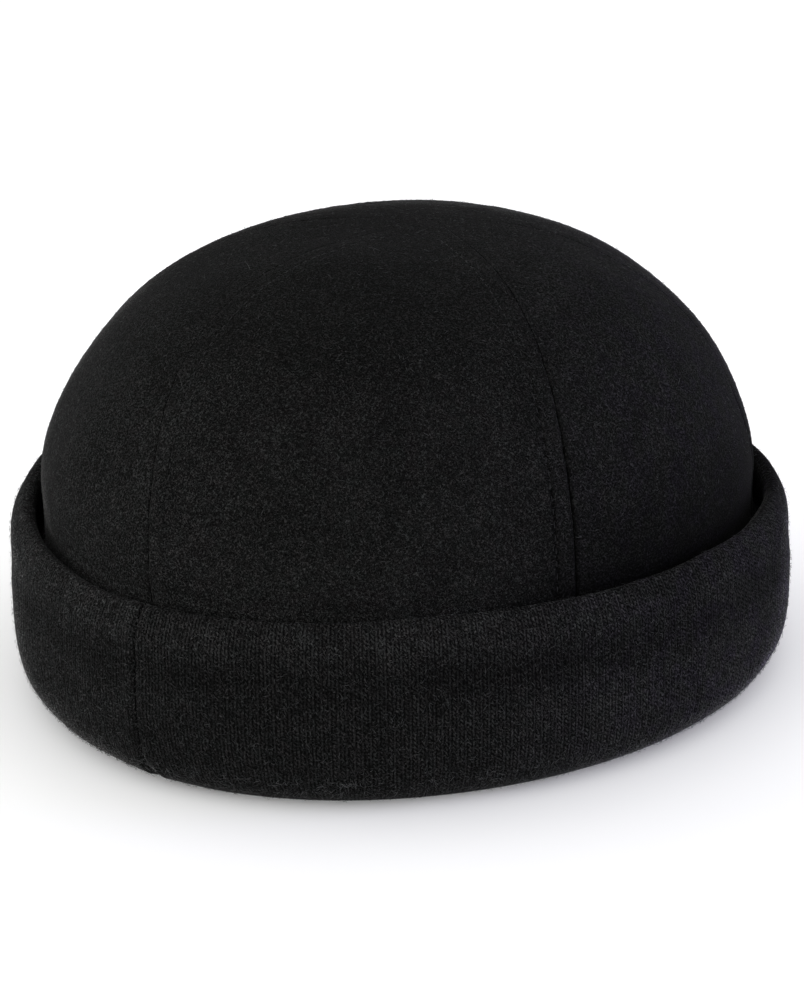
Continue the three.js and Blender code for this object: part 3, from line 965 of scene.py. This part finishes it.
def makeCuff():
    section, outward, share, turnShare, sectionLength = cuffRows()
    count = cuff["columnsPerWale"] * knitLook["wales"]
    angles, around = cuffAngles(count)
    rows = len(section)
    fromBack = (np.degrees(angles) - 90 + 180) % 360 - 180
    drift = np.radians(cuff["seamDrift"]) * hump(fromBack, 0, cuff["driftSpan"])
    low = 1 - softStep(section[:, 1], 0, cuff["driftHeight"])
    leaning = angles[None, :] + drift[None, :] * low[:, None]
    plan = planPoint(leaning, cuff["width"] / 2, cuff["length"] / 2)
    sideways = planNormal(leaning, cuff["width"] / 2, cuff["length"] / 2)

    inset, height = (np.repeat(section[:, [axis]], count, 1) for axis in (0, 1))
    # From the bottom of the slot to the floor on the inside, the wall follows the waist
    fromSlot = (share > turnShare)[:, None]
    inset = inset + waistDraw(angles[None, :], height) * fromSlot
    outInset, outHeight = (np.repeat(outward[:, [axis]], count, 1) for axis in (0, 1))
    fromFloor = softStep(height, 0.0, cuff["restHeight"])

    rib = np.where(np.arange(count) % cuff["columnsPerWale"] == 0, -1.0, cuff["ribRise"])
    rib = rib[None, :] * cuff["ribDepth"]
    seamDistance = np.minimum(np.arange(count), count - np.arange(count))[None, :] * around / count
    onOutside = (outInset < cuff["outsideLean"]) | (height > cuff["foldStart"])
    seam = -cuff["seamDepth"] * hump(seamDistance, 0, cuff["seamWidth"])
    seam = seam + cuff["lipRise"] * hump(seamDistance, cuff["lipPlace"], cuff["lipWidth"])
    lift = (rib + seam * onOutside) * fromFloor
    roundSpot = np.stack([np.cos(angles), np.sin(angles)], -1) * cuff["planRadius"]
    spot = np.concatenate([np.repeat(roundSpot[None], rows, 0), height[..., None]], -1)
    lift = lift + cuff["dentHeight"] * waves(spot, cuff["dentLength"], 3) * fromFloor * onOutside
    inset = inset + outInset * lift
    height = height + outHeight * lift
    topWave = cuff["waveHeight"] * waves(roundSpot, cuff["waveLength"], 12)
    for middle, halfWidth, rise in cuff["topWaves"]:
        away = (np.degrees(angles) - middle + 180) % 360 - 180
        topWave += rise * hump(away, 0, halfWidth)
    height = height + topWave[None, :] * softStep(height, *cuff["waveHeights"]) * (1 - fromSlot)
    notch = cuff["notch"] * hump(seamDistance, 0, cuff["notchWidth"]) * onOutside
    notch = notch * (1 - softStep(height, *cuff["notchHeights"]))
    level = plan - sideways * (inset + notch)[..., None]
    points = np.concatenate([level, np.maximum(height + notch, 0)[..., None]], -1)

    faces = gridFaces(rows, count, closedAcross=True, closedAlong=True)
    row, column = np.divmod(np.arange(rows * count), count)
    v = np.append(share, 1.0)
    corners = ((0, 0), (1, 0), (1, 1), (0, 1))
    uv = np.stack([np.stack([(column + right) / count, v[row + up]], -1) for right, up in corners], 1)
    band = makeMesh("cuffKnit", points.reshape(-1, 3), faces.tolist(), knit, uv)
    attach(band, "root")
    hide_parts("cuff")
    print("cuff section", round(sectionLength * 1000, 1), "mm, round", round(around * 1000, 1), "mm")
    raised = (section[:-1, 1] > cuff["hairHeight"])[:, None]
    hairy = (outInset[:-1] < cuff["hairLean"]) & raised & onOutside[:-1]
    shownFaces = faces[hairy.ravel().nonzero()[0]]
    return band, (around, sectionLength / 2), points.reshape(-1, 3)[shownFaces]


cuffBand, cuffFlat, cuffQuads = makeCuff()
print("cuff made")

# Lines of stitches beside the seams of every other panel, sunk into the felt

stitching = {
    "start": 0.001,
    "pitch": 0.0030,
    "length": 0.0022,
    "radius": 0.00015,
    "bow": 0.00012,
    "sunk": 0.00005,
    "endShare": 0.25,  # square of the thickness of a stitch's ends, beside its middle's
    "sides": 6,
    "rings": 5,
}


def stitchLine(line, name):
    # line holds points on the felt and the directions out of it
    look = stitching
    lengths = lengthsAlong(line[:, 0])
    starts = np.arange(look["start"], lengths[-1] - look["length"], look["pitch"])
    sides, rings = look["sides"], look["rings"]
    along = np.linspace(0, 1, rings)
    turns = np.arange(sides) / sides * 2 * math.pi
    cos, sin = np.cos(turns)[None, :, None], np.sin(turns)[None, :, None]
    allPoints, allFaces = [], []
    for start in starts:
        stops = start + along * look["length"]
        path = np.stack([np.interp(stops, lengths, line[:, 0, axis]) for axis in range(3)], -1)
        outward = np.stack([np.interp(stops, lengths, line[:, 1, axis]) for axis in range(3)], -1)
        sideways = unit(np.cross(np.gradient(path, axis=0), outward))
        bow = np.sin(math.pi * along)
        path = path + outward * ((bow - 1) * look["bow"] - look["sunk"])[:, None]
        radius = look["radius"] * np.sqrt(np.clip(look["endShare"] + bow, 0, 1))
        points = path[:, None] + (cos * sideways[:, None] + sin * outward[:, None]) * radius[:, None, None]
        first = len(allPoints) * rings * sides
        allPoints.append(points.reshape(-1, 3))
        faces = gridFaces(rings, sides, closedAcross=True)[:, ::-1].tolist()
        faces.append(list(range(sides)))
        faces.append(list(range((rings - 1) * sides, rings * sides))[::-1])
        allFaces += [[corner + first for corner in face] for face in faces]
    piece = makeMesh(name, np.concatenate(allPoints), allFaces, sewingThread)
    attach(piece, "root")
    return piece


for panel, flat, area, _, stitchLines in panels:
    stitches = [stitchLine(line, f"{panel.name}Stitches{side}") for side, line in enumerate(stitchLines, 1)]
    print(panel.name, "cut", [round(size * 1000) for size in flat], "mm, area", round(area * 10000), "cm2")
print("stitch lines made")

# Hairs of wool that lie on the cloth or stand out of it

# Lengths in metres. A share of the hairs stand and rise further out of the cloth than those that lie.
fuzz = {"length": (0.0008, 0.0022), "radius": 0.000028, "stand": 1.0, "standRise": (0.0002, 0.0006)}
strands = {
    "crownHairs": {"count": 9500, "length": (0.0006, 0.0017), "radius": 0.000034, "stand": 0.12,
                   "standRise": (0.0001, 0.00045), "paleness": 0.34, "seed": 21},
    "cuffHairs": {"count": 9000, "length": (0.0006, 0.0016), "radius": 0.000036, "stand": 0.16,
                  "standRise": (0.0001, 0.00045), "paleness": 0.40, "seed": 22},
    "cuffFuzz": {**fuzz, "count": 8500, "paleness": 0.42, "seed": 23},
    # The fuzz of the bottom edge is paler than the rest, a painted highlight along that edge
    "edgeFuzz": {**fuzz, "count": 5500, "paleness": 1.0, "seed": 24},
    "looseHairs": {"count": 40, "length": (0.0024, 0.0045), "radius": 0.000034, "stand": 0.6,
                   "standRise": (0.0003, 0.0012), "paleness": 0.6, "seed": 25},
}
hairForm = {
    "lieRise": (0.00002, 0.00009),
    "bend": 0.25,  # share of a hair's length
    "thickness": (0.7, 1.3),
    "rootDepth": 0.00004,
    "lowest": 0.0001,
    "toneSpread": (1.3, 2.6),  # most hairs are dark and few are pale
    "edgeHeight": 0.009,  # the fuzz of the bottom edge grows below this
    "gapSide": 0.03,  # the crown has no hairs in the gap on one side
    "gapHeight": 0.058,
}


def scatterHairs(name, quads):
    look = strands[name]
    rng = np.random.default_rng(look["seed"])
    edge1 = quads[:, 1] - quads[:, 0]
    edge2 = quads[:, 3] - quads[:, 0]
    normals = np.cross(edge1, edge2)
    areas = np.linalg.norm(normals, axis=1)
    count = look["count"]
    chosen = rng.choice(len(quads), size=count, p=areas / areas.sum())
    s, t = rng.random((2, count, 1))
    base = quads[chosen, 0] + edge1[chosen] * s + edge2[chosen] * t
    outward = normals[chosen] / areas[chosen, None]
    turn = rng.uniform(0, 2 * math.pi, (count, 1))
    across = unit(np.cross(outward, rng.normal(size=(count, 3))))
    along = np.cos(turn) * across + np.sin(turn) * np.cross(outward, across)
    sideways = np.cross(outward, along)
    length = rng.uniform(*look["length"], (count, 1))
    bend = rng.normal(0, hairForm["bend"], (count, 1)) * length
    stands = rng.random((count, 1)) < look["stand"]
    standing = rng.uniform(*look["standRise"], (count, 1))
    rise = np.where(stands, standing, rng.uniform(*hairForm["lieRise"], (count, 1)))
    thick = look["radius"] * rng.uniform(*hairForm["thickness"], (count, 1, 1))
    # Middles of a hair's three rings of points, from its root, and how thick it is there
    middles = [
        (base - along * length * 0.5 - outward * hairForm["rootDepth"], 0.7),
        (base - along * length * 0.15 + sideways * bend * 0.7 + outward * rise * 0.7, 1.0),
        (base + along * length * 0.2 + sideways * bend + outward * rise, 0.85),
    ]
    tip = base + along * length * 0.5 + sideways * bend * 0.3 + outward * rise * np.where(stands, 1.6, 0.5)
    angles = (np.arange(3) * 2 * math.pi / 3)[None, :, None]
    ring = np.cos(angles) * sideways[:, None] + np.sin(angles) * outward[:, None]
    rings = [middle[:, None] + ring * thick * share for middle, share in middles]
    points = np.concatenate([*rings, tip[:, None]], axis=1)
    points[..., 2] = np.maximum(points[..., 2], hairForm["lowest"])
    # Triangles of one hair: its root, its sides and its tip
    around = gridFaces(3, 3, closedAcross=True)[:, [[0, 3, 2], [0, 2, 1]]].reshape(-1, 3)
    oneHair = np.concatenate([[[0, 1, 2]], around, [[6, 9, 7], [7, 9, 8], [8, 9, 6]]])
    faces = (oneHair[None] + 10 * np.arange(count)[:, None, None]).reshape(-1, 3)
    hairs = makeMesh(name, points.reshape(-1, 3), faces.tolist(), strandWool)
    tone = np.repeat(rng.beta(*hairForm["toneSpread"], count) * look["paleness"], 10)
    attribute = hairs.data.attributes.new("hairTone", "FLOAT", "POINT")
    attribute.data.foreach_set("value", tone.astype(np.float32))
    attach(hairs, "root")
    return hairs


crownQuads = np.concatenate([quads for _, _, _, quads, _ in panels])
middles = crownQuads.mean(axis=1)
toRight = middles @ np.array(viewAxes()[0])
inGap = (toRight > hairForm["gapSide"]) & (middles[:, 2] < hairForm["gapHeight"])
crownQuads = crownQuads[~inGap]
scatterHairs("crownHairs", crownQuads)
scatterHairs("looseHairs", np.concatenate([crownQuads, cuffQuads]))
lowQuads = cuffQuads[cuffQuads[:, :, 2].mean(axis=1) < hairForm["edgeHeight"]]
bandHairs = [
    scatterHairs("cuffHairs", cuffQuads),
    scatterHairs("cuffFuzz", cuffQuads),
    scatterHairs("edgeFuzz", lowQuads),
]
print("hairs made")
